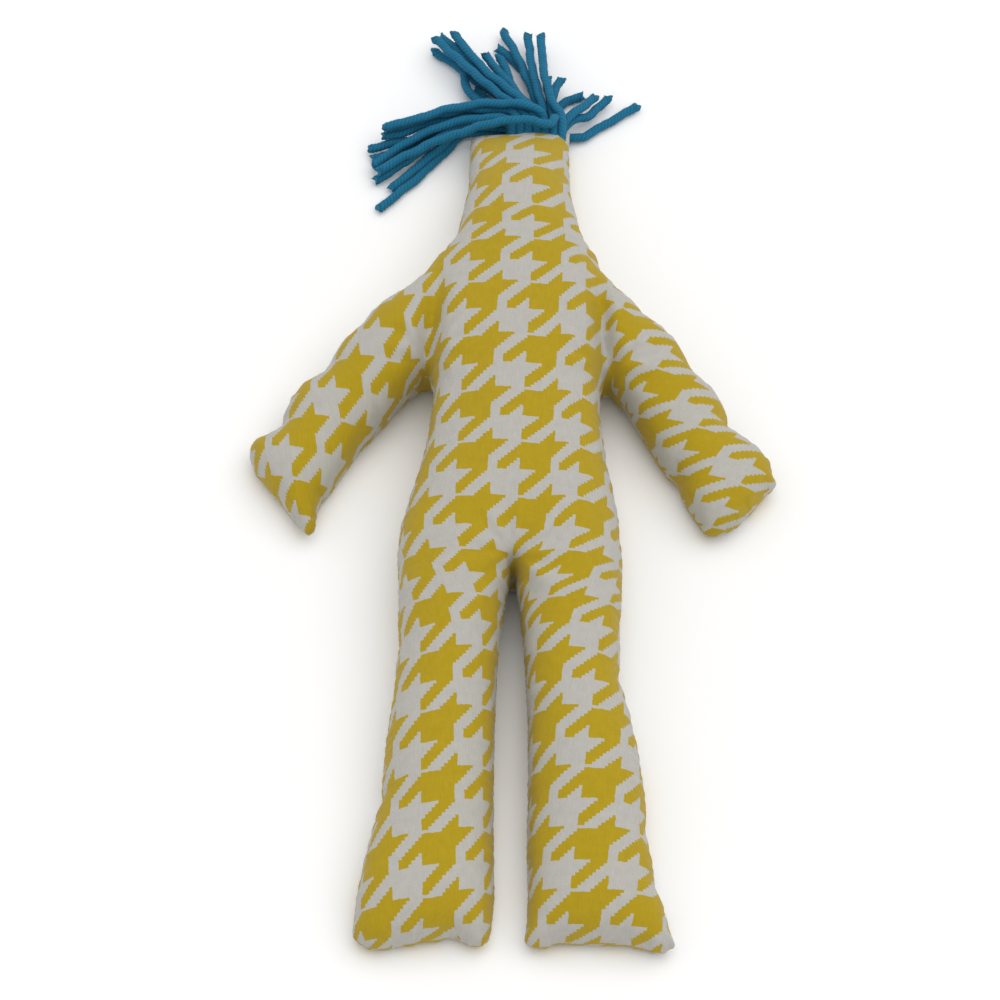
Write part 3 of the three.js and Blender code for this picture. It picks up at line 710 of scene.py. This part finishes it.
def settle(place, points):
    """The front print as the seams hold it.

    A leg's print moves by a fixed part and a share of u, an arm's by shares of u and v and a fixed part. On
    the torso and head the rows move by an amount that depends on how far up they are.
    """
    u, v = place.T
    x, y = points.T
    on_left = 0.5 + 0.5 * np.tanh(x / 4)
    legs = ease(-y, 20, 58)
    leg_u = (1 - on_left) * -9.7 + on_left * 10.4
    leg_v = (1 - on_left) * (-6.5 - 0.13 * (u + 18.5)) + on_left * (-9.6 - 0.1 * (u - 37))
    arms = arm_share(points, -6, 12)
    arm_u, arm_v = (np.where(x < 0, a * u + b * v + c, d * u + e * v + f)
                    for (a, b, c), (d, e, f) in zip(RIGHT_ARM_MOVE, LEFT_ARM_MOVE))
    trunk = (1 - arms) * (1 - legs)
    rows = np.interp(y, ROW_PLACES, ROW_MOVES)
    side = ease(x, 8, 20)
    head_u = 2.1 * ease(y, 92, 112) * np.exp(-((x - 0.5) / 9.5) ** 2)
    u = u + trunk * (1.2 * side + head_u) + legs * leg_u + arms * arm_u
    return np.column_stack([u, v + trunk * (rows - 1.6 * side) + legs * leg_v + arms * arm_v])


REPEAT = np.array([21.1, 20.05])
PINCH = np.array([3.9, 48.0])
plan = shape[:, :2]
print_front = settle(smooth_front, plan)
corner_print = np.vstack([print_front[tris.ravel()], print_back[faces[len(tris):].ravel()]])
corner_print = (corner_print - PINCH) / REPEAT * [1, -1]
print("print repeats, across and down:", np.ptp(corner_print, axis=0).round(1))

# %% [markdown]
# ## The cloth
#
# Blender's cloth puts the tension in. The seam is pinned, a little spare cloth is left beside it as in a
# turned seam, and an inner pressure stands for the stuffing. The spare cloth gathers into puckers, which
# would be hard to draw. The model is blown up ten times for this, because the solver is made for metre-sized
# things.

# %% Cover for the cloth
SCALE = 10
SPARE_REACH = 6
SPARE_LEVELS = 50
cover_mesh = bpy.data.meshes.new("cover")
cover_mesh.from_pydata((shape * MM * SCALE).tolist(), [], faces.tolist())
cover_mesh.uv_layers.new(name="print").data.foreach_set("uv", corner_print.ravel())
cover = bpy.data.objects.new("cover", cover_mesh)
scene.collection.objects.link(cover)
seam_group = cover.vertex_groups.new(name="seam")
seam_group.add(np.flatnonzero(on_rim).tolist(), 1.0, "REPLACE")
spare_group = cover.vertex_groups.new(name="spare")
spare = np.round(np.exp(-(nearest(plan, flat[on_rim]) / SPARE_REACH) ** 2) * SPARE_LEVELS)
for level in range(SPARE_LEVELS + 1):
    spare_group.add(np.flatnonzero(spare == level).tolist(), level / SPARE_LEVELS, "REPLACE")
print("cover with", on_rim.sum(), "points on its seam")

# %% Cloth
FRAMES = 20
CLOTH = {
    "quality": 6, "mass": 0.3, "air_damping": 1.0, "pin_stiffness": 1.0, "vertex_group_mass": "seam",
    "tension_stiffness": 60, "compression_stiffness": 60, "shear_stiffness": 20, "bending_stiffness": 0.3,
    "tension_damping": 5, "compression_damping": 5, "shear_damping": 5, "bending_damping": 0.5,
    "use_pressure": True, "uniform_pressure_force": 2.5,
    "vertex_group_shrink": "spare", "shrink_min": 0.0, "shrink_max": -0.16,
}
cloth = cover.modifiers.new("cloth", "CLOTH")
for name, value in CLOTH.items():
    setattr(cloth.settings, name, value)
cloth.settings.effector_weights.gravity = 0
cloth.collision_settings.use_collision = False
cloth.point_cache.frame_start = 1
cloth.point_cache.frame_end = FRAMES
filled = shape.copy()
for number in range(1, FRAMES + 1):
    scene.frame_set(number)
solved = cover.evaluated_get(bpy.context.evaluated_depsgraph_get()).data
read = np.empty(len(shape) * 3)
solved.vertices.foreach_get("co", read)
filled = read.reshape(-1, 3) / SCALE / MM
scene.frame_set(1)
cover.modifiers.remove(cloth)
filled[:, 2] = np.maximum(filled[:, 2], 0)
cover_mesh.vertices.foreach_set("co", (filled * MM).ravel())
cover_mesh.update()
print("filled cover:", filled.min(0).round(1), "to", filled.max(0).round(1))

# %% [markdown]
# ## Parting the cover at the folds
#
# Limbs made one by one would show a line at each joint. So the whole cover is smoothed once, then parted
# along the fold lines. Each part keeps the shading of the whole, so no line shows, and is closed inside the
# fold with a fan of triangles.

# %% Sort by section
SECTIONS = ["torso", *FOLDS]
middle = flat[tris].mean(1)
section = np.zeros(len(tris), int)
for number, name in enumerate(SECTIONS[1:], 1):
    beyond = fold_place(name, middle) > 0
    if name == "head":
        beyond &= middle[:, 1] > 90
    elif "leg" in name:
        beyond &= (middle[:, 1] < 0) & ((middle[:, 0] > CROTCH[0]) == (name == "left_leg"))
    else:
        side = np.where(name == "left_arm", 1, -1) * middle[:, 0]
        beyond &= (arm_share(middle, -1, 1e-6) > 0.5) & (side > 0)
    section[beyond] = number
print("triangles of a panel:", dict(zip(SECTIONS, np.bincount(section).tolist())))


# %% Smooth the whole cover
def read_all(data, name, width, kind=float):
    """One property of every element of a mesh, as an array."""
    values = np.empty(len(data) * width, kind)
    data.foreach_get(name, values)
    return values.reshape(-1, width) if width > 1 else values


tag = cover_mesh.attributes.new("section", "INT", "FACE")
tag.data.foreach_set("value", np.tile(section, 2))
cover_mesh.polygons.foreach_set("use_smooth", np.ones(len(faces), bool))
smoother = cover.modifiers.new("smooth", "SUBSURF")
smoother.levels = smoother.render_levels = 1
whole = bpy.data.meshes.new_from_object(cover.evaluated_get(bpy.context.evaluated_depsgraph_get()))
bpy.data.objects.remove(cover)

size = len(whole.loops) // len(whole.polygons)
points = read_all(whole.vertices, "co", 3)
normals = read_all(whole.vertex_normals, "vector", 3)
polygons = read_all(whole.loops, "vertex_index", 1, np.int32).reshape(-1, size)
uvs = read_all(whole.uv_layers["print"].data, "uv", 2).reshape(-1, size, 2)
section = read_all(whole.attributes["section"].data, "value", 1, np.int32)
print("whole cover:", len(points), "points,", len(polygons), "faces")

# %% [markdown]
# An edge runs from its start to its end in one face and back in the next. Looking up the way back tells
# which section lies on the other side, and so which edges are on a fold.

# %% Find the folds
starts, ends = polygons.ravel(), np.roll(polygons, -1, axis=1).ravel()
owner = np.repeat(section, size)
key, opposite = starts * len(points) + ends, ends * len(points) + starts
order = np.argsort(key)
neighbour = owner[order[np.searchsorted(key, opposite, sorter=order)]]
print((owner != neighbour).sum() // 2, "edges on the folds")


# %% Cut at the folds
def fold_caps(number):
    """The middle of each fold of a section, and triangles that close the fold towards its middle."""
    tips, caps = [], []
    for other in range(len(SECTIONS)):
        cut = (owner == number) & (neighbour == other)
        if other == number or not cut.any():
            continue
        tip = np.full(cut.sum(), len(points) + len(tips))
        tips.append(points[starts[cut]].mean(0))
        caps.append(np.column_stack([ends[cut], starts[cut], tip]))
    return np.array(tips), np.vstack(caps)


def part_mesh(name, number):
    """The mesh of one section, closed at its folds, with the print and the shading of the whole."""
    kept = polygons[section == number]
    tips, caps = fold_caps(number)
    all_points = np.vstack([points, tips])
    all_normals = np.vstack([normals, np.tile([0, 0, 1.0], (len(tips), 1))])
    used, corners = np.unique(np.concatenate([kept.ravel(), caps.ravel()]), return_inverse=True)
    cloth_faces = corners[:kept.size].reshape(-1, size).tolist()
    cap_faces = corners[kept.size:].reshape(-1, 3).tolist()
    mesh = bpy.data.meshes.new(name)
    mesh.from_pydata(all_points[used].tolist(), [], cloth_faces + cap_faces)
    places = np.vstack([uvs[section == number].reshape(-1, 2), np.zeros((caps.size, 2))])
    mesh.uv_layers.new(name="print").data.foreach_set("uv", places.ravel())
    mesh.polygons.foreach_set("use_smooth", np.ones(len(mesh.polygons), bool))
    mesh.normals_split_custom_set_from_vertices(all_normals[used].tolist())
    return mesh


print("folds of the torso:", len(fold_caps(0)[0]))

# %% [markdown]
# Each section becomes a part of its own, and the imported panels and stuffing of that section are hidden.
# The torso's part rides on the torso; the other parts stay where they are.

# %% Make the six parts
covers = {}
for number, name in enumerate(SECTIONS):
    part = bpy.data.objects.new(name + "_cover", part_mesh(name + "_cover", number))
    scene.collection.objects.link(part)
    if name == "torso":
        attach(part, "torso")
    else:
        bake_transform(part)
    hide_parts(name + "_front_panel", name + "_back_panel", name + "_stuffing")
    covers[name] = part
print("cover parts:", {name: len(part.data.polygons) for name, part in covers.items()})

# %% [markdown]
# ## Printed cotton
#
# A houndstooth is a weave of yellow and white threads, half of each, on a diagonal twill. The diagonals fall
# into four bands: on two of them the rows of thread show, on the other two the columns. This print is drawn
# in coarse dots, 20 to a repeat, with a slight wobble, and its yellow tails are cut short by a dot or two. A
# formula for that stays sharp however near the camera comes.

# %% Houndstooth
DOTS = 20
# Each band: its limits on the diagonal, rows or columns, the limits of the yellow, and where a tail is cut.
BANDS = [
    ((-1, 4), "rows", (0, 10), (10, 12)),
    ((4, 9), "columns", (-1, 10), None),
    ((9, 14), "rows", (-1, 10), None),
    ((14, 19), "columns", (-1, 9), (-1, 0)),
]
# The dots' edges wobble 14 times in a repeat, which is about every 1.5 mm, by a small share of the repeat.
WOBBLES = 14.0
WOBBLE_SHARE = (0.03, 0.03, 0)


def between(tree, value, limits):
    """1 where a count of dots, taken round the repeat, is from the first limit up to the second."""
    low, high = limits
    steps = [("ADD", 0.5 - low), ("DIVIDE", DOTS), ("FRACT", 0.0), ("LESS_THAN", (high - low) / DOTS)]
    for operation, number in steps:
        value = add(tree, "Math", {0: value, 1: number}, operation=operation)
    return value


cotton, tree, surface = new_material("printed_cotton", 0.92)
place = add(tree, "UVMap", {}, uv_map="print")
wobble = add(tree, "TexNoise", {"Vector": place, "Scale": WOBBLES, "Detail": 1.0}, output="Color")
moved = add(tree, "VectorMath", {0: wobble, 1: (0.5, 0.5, 0.5)}, operation="SUBTRACT")
moved = add(tree, "VectorMath", {0: moved, 1: WOBBLE_SHARE, 2: place}, operation="MULTIPLY_ADD")
dots = add(tree, "VectorMath", {0: moved, 1: (DOTS, DOTS, 0), 2: (-0.5, -0.5, 0)}, operation="MULTIPLY_ADD")
dots = add(tree, "VectorMath", {0: dots}, operation="FLOOR")
dot_column = add(tree, "SeparateXYZ", {0: dots}, output="X")
dot_row = add(tree, "SeparateXYZ", {0: dots}, output="Y")
diagonal = add(tree, "Math", {0: dot_column, 1: dot_row}, operation="ADD")
yellow = 0.0
for band, kind, threads, cut in BANDS:
    counted, other = (dot_row, dot_column) if kind == "rows" else (dot_column, dot_row)
    tests = {0: between(tree, diagonal, band), 1: between(tree, counted, threads)}
    shown = add(tree, "Math", tests, operation="MULTIPLY")
    if cut:
        left = add(tree, "Math", {0: 1.0, 1: between(tree, other, cut)}, operation="SUBTRACT")
        shown = add(tree, "Math", {0: shown, 1: left}, operation="MULTIPLY")
    yellow = add(tree, "Math", {0: yellow, 1: shown}, operation="ADD")
colours = {6: linear("#b5b3ab"), 7: linear("#ae941a")}
ink = add(tree, "Mix", {0: yellow, **colours}, output=2, data_type="RGBA")
print("houndstooth with dots of", (REPEAT / DOTS).round(2), "mm")

# %% [markdown]
# The cloth itself is a plain weave of soft cotton: matt, with a faint bloom at the edges, slubs where a
# thread is thicker, and dye that took unevenly. A slub is about 0.7 mm wide and 4.5 mm long, a patch of dye
# about 3 mm across. The threads lie 0.4 mm apart, coarser than real ones, so that the weave shows.

# %% Cotton surface
THREAD_PITCH = 0.4
SLUBS_PER_MM = (1.5, 0.22, 1)
MOTTLE_PER_MM = 0.35
UNEVEN_DYE = 0.16
SLUB_HEIGHT = 3.0
WEAVE_DEPTH = 0.00008
millimetres = add(tree, "VectorMath", {0: place, 1: (*REPEAT, 1)}, operation="MULTIPLY")
slub_place = add(tree, "VectorMath", {0: millimetres, 1: SLUBS_PER_MM}, operation="MULTIPLY")
slub = add(tree, "TexNoise", {"Vector": slub_place, "Scale": 1.0, "Detail": 3.0})
mottle = add(tree, "TexNoise", {"Vector": millimetres, "Scale": MOTTLE_PER_MM, "Detail": 4.0})
tone = add(tree, "Math", {0: slub, 1: UNEVEN_DYE, 2: 1 - UNEVEN_DYE}, operation="MULTIPLY_ADD")
tone = add(tree, "Math", {0: mottle, 1: UNEVEN_DYE, 2: tone}, operation="MULTIPLY_ADD")
dye_and_painted_shade = add(tree, "HueSaturation", {"Color": ink, "Value": tone})
tree.links.new(dye_and_painted_shade, surface.inputs["Base Color"])

wave = np.pi / THREAD_PITCH
thread = add(tree, "VectorMath", {0: millimetres, 1: (wave, wave, 1)}, operation="MULTIPLY")
warp, weft = (add(tree, "Math", {0: add(tree, "SeparateXYZ", {0: thread}, output=axis)}, operation="SINE")
              for axis in ("X", "Y"))
weave = add(tree, "Math", {0: warp, 1: weft}, operation="MULTIPLY")
relief = add(tree, "Math", {0: slub, 1: SLUB_HEIGHT, 2: weave}, operation="MULTIPLY_ADD")
bump = add(tree, "Bump", {"Height": relief, "Strength": 0.5, "Distance": WEAVE_DEPTH})
tree.links.new(bump, surface.inputs["Normal"])
surface.inputs["Specular IOR Level"].default_value = 0.15
surface.inputs["Sheen Weight"].default_value = 0.15
for part in covers.values():
    part.data.materials.append(cotton)
print("cotton on", len(covers), "parts")

# %% [markdown]
# ## Acrylic yarn
#
# The yarn is spun and dyed acrylic. It is dull, with fine fibres along each ply that vary its colour at
# random. The colour is darker in the grooves between the plies, a painted shade, and lighter on top of
# them, a painted highlight. The fibres are drawn nine to a ply and about 2 mm long, coarser than real
# ones, so that they show.

# %% Yarn surface
FIBRES_ON_A_PLY = 9.0
FIBRES_ALONG_A_MM = 0.5
# PLY_SHADE weighs the painted shade and highlight across each ply; FIBRE_SHADE weighs the fibres' random
# tone.
PLY_SHADE, FIBRE_SHADE = 0.45, 0.7
FIBRE_DEPTH = 0.0003
yarn, tree, surface = new_material("acrylic_yarn", 0.85)
place = add(tree, "UVMap", {}, uv_map="ply")
fibre_scale = (FIBRES_ON_A_PLY, FIBRES_ALONG_A_MM, 1)
fibre_place = add(tree, "VectorMath", {0: place, 1: fibre_scale}, operation="MULTIPLY")
fibre = add(tree, "TexNoise", {"Vector": fibre_place, "Scale": 1.0, "Detail": 4.0})
# Painted shade and highlight: this stripe follows the twist, 0 in the grooves between the plies and 1 on top
# of each ply.
ply = add(tree, "SeparateXYZ", {0: place}, output="X")
for operation, number in [("MULTIPLY", np.pi), ("COSINE", 0.0), ("ABSOLUTE", 0.0), ("MULTIPLY", PLY_SHADE)]:
    ply = add(tree, "Math", {0: ply, 1: number}, operation=operation)
shade = add(tree, "Math", {0: fibre, 1: FIBRE_SHADE, 2: ply}, operation="MULTIPLY_ADD")
# From the dark blue to the light blue: the grooves get a painted shade, the tops of the plies a painted
# highlight, and the fibres a random tone.
colours = {6: linear("#044867"), 7: linear("#227ea3")}
dye_and_painted_shade = add(tree, "Mix", {0: shade, **colours}, output=2, data_type="RGBA")
tree.links.new(dye_and_painted_shade, surface.inputs["Base Color"])
bump = add(tree, "Bump", {"Height": fibre, "Strength": 0.8, "Distance": FIBRE_DEPTH})
tree.links.new(bump, surface.inputs["Normal"])
surface.inputs["Sheen Weight"].default_value = 0.06
surface.inputs["Specular IOR Level"].default_value = 0.2
for strand in strands:
    strand.data.materials.append(yarn)
print("yarn on", len(strands), "strands")
